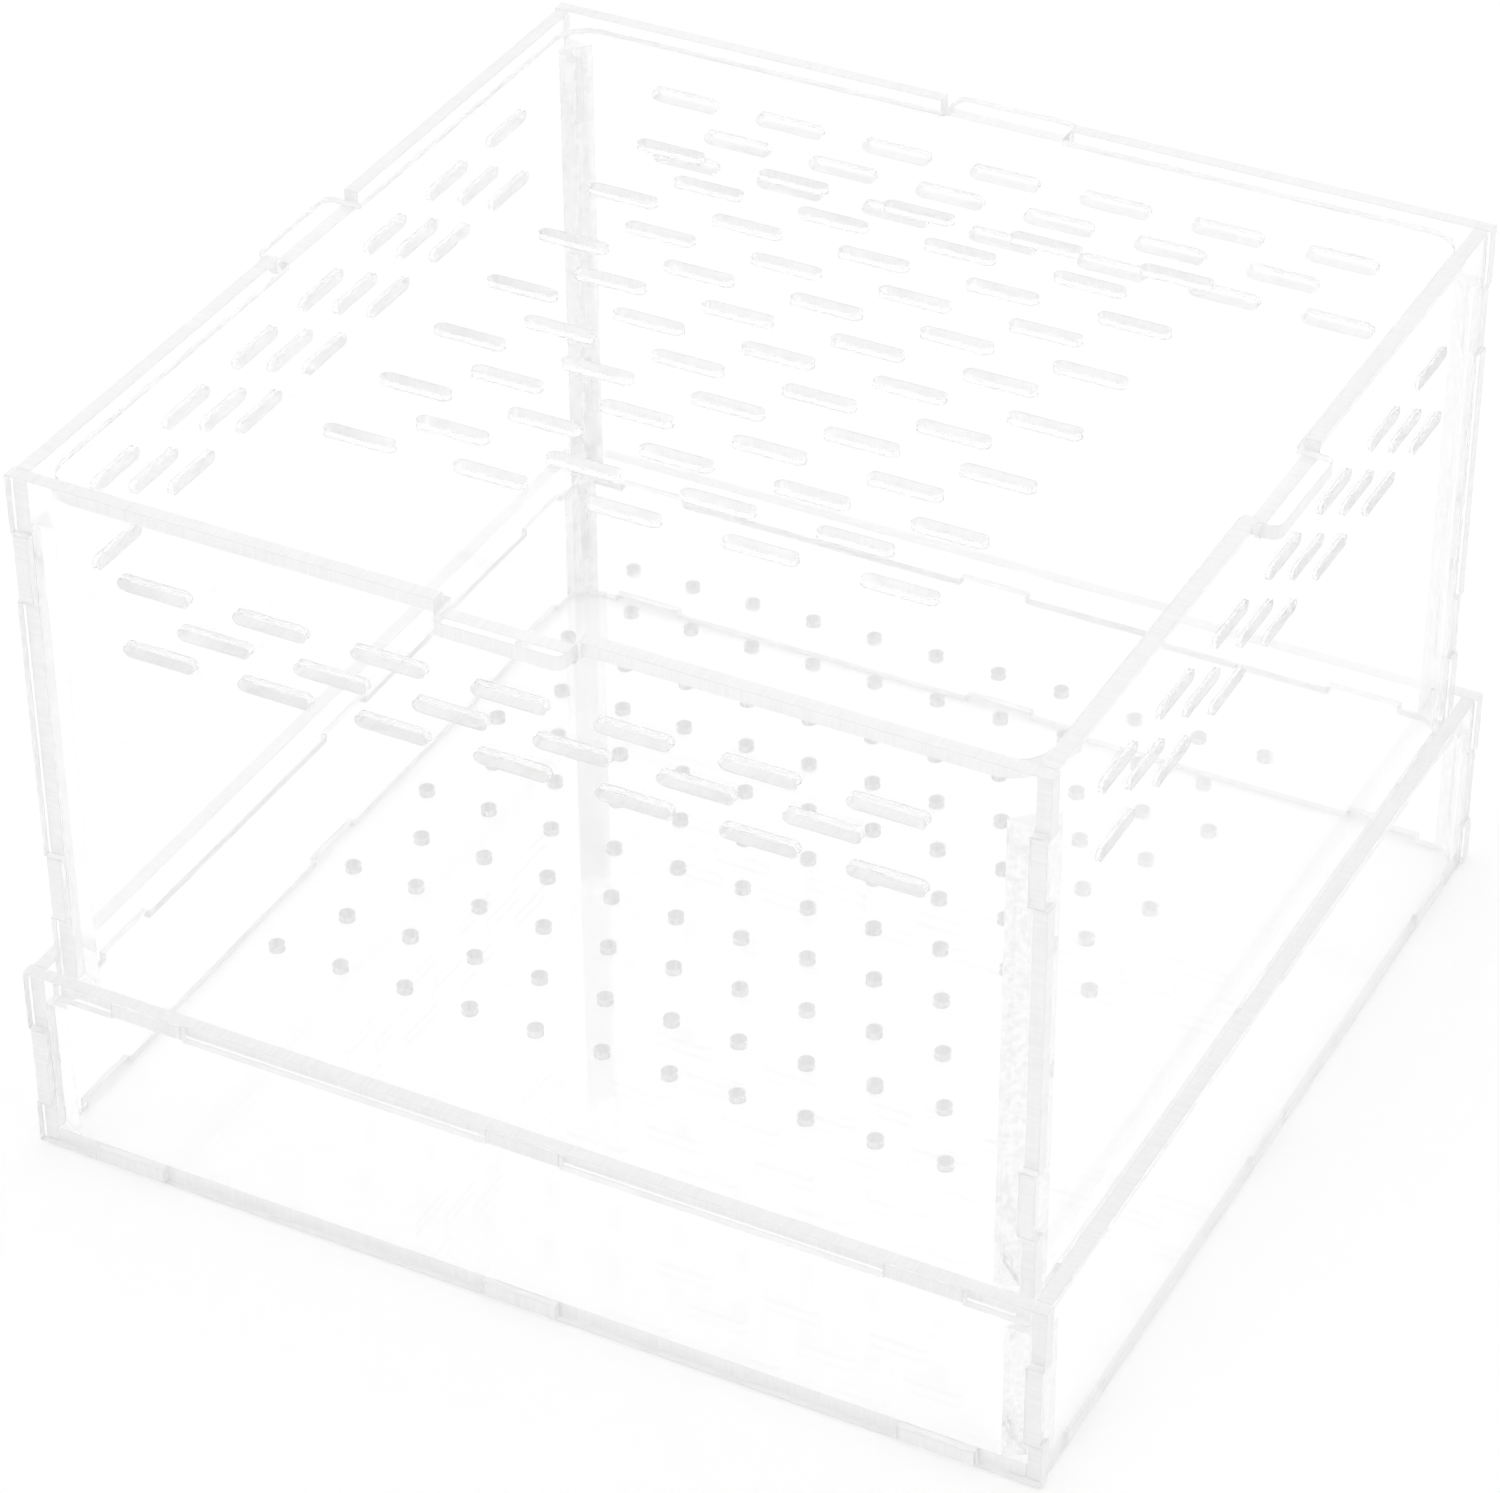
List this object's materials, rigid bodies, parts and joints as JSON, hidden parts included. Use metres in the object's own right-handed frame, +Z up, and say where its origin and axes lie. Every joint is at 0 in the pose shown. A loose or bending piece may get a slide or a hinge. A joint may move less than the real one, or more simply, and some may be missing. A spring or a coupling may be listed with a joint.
{
  "type": "acrylic reptile breeding box",
  "caption": "Clear acrylic breeding box for small reptiles: slotted lid, ventilated cage with a drilled drain floor, and a shallow tray under it.",
  "frame": {"origin": "centre of the tray's underside, where the box stands", "axes": "+Z up, +X along the front wall to the right, +Y from front to back; the lid's slots run along X"},
  "size_m": [0.21, 0.209, 0.149],
  "materials": {
    "clear_acrylic_wall": "clear cast sheet, polished faces, laser-cut edges",
    "clear_acrylic_floor": "clear cast sheet, polished faces, laser-cut edges",
    "clear_acrylic_lid": "clear cast sheet, polished faces, laser-cut edges",
    "clear_acrylic_post": "clear extruded triangular bar, solvent cemented"
  },
  "bodies": {
    "tray": {"tray_front_wall": "clear_acrylic_wall", "tray_back_wall": "clear_acrylic_wall", "tray_left_wall": "clear_acrylic_wall", "tray_right_wall": "clear_acrylic_wall", "tray_floor": "clear_acrylic_floor", "tray_post_front_left": "clear_acrylic_post", "tray_post_front_right": "clear_acrylic_post", "tray_post_back_left": "clear_acrylic_post", "tray_post_back_right": "clear_acrylic_post"},
    "cage": {"cage_front_wall": "clear_acrylic_wall", "cage_back_wall": "clear_acrylic_wall", "cage_left_wall": "clear_acrylic_wall", "cage_right_wall": "clear_acrylic_wall", "cage_floor": "clear_acrylic_floor", "cage_post_front_left": "clear_acrylic_post", "cage_post_front_right": "clear_acrylic_post", "cage_post_back_left": "clear_acrylic_post", "cage_post_back_right": "clear_acrylic_post"},
    "lid": {"lid": "clear_acrylic_lid"}
  },
  "joints": [
    {"name": "cage_lift", "type": "slide", "parent": "tray", "child": "cage", "axis": [0, 0, 1], "range_m": [0, 0.025]},
    {"name": "lid_lift", "type": "slide", "parent": "cage", "child": "lid", "axis": [0, 0, 1], "range_m": [0, 0.025]}
  ]
}
